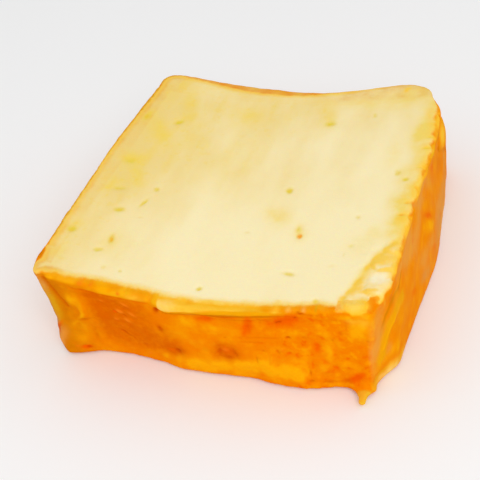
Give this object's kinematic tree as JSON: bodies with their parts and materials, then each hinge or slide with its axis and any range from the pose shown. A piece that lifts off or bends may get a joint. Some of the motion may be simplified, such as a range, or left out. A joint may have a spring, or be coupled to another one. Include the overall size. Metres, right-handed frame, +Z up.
{
  "type": "kashkaval cheese slab",
  "caption": "Thick square slab of yellow kashkaval cheese with a pale dished cut face, a deep orange rind on its sides, a dragged lip and a ragged tail at one foot.",
  "frame": {"origin": "middle of the bounding box of the flat underside", "axes": "+Z up out of the shown cut face, -Y towards the front wall with the dragged lip, +X towards the smooth right wall"},
  "size_m": [0.138, 0.153, 0.0414],
  "materials": {
    "cheese": "moist, waxy cheese: pale cream on the cut faces, orange on the rind"
  },
  "bodies": {
    "root": {"cheese": "cheese"}
  },
  "joints": []
}
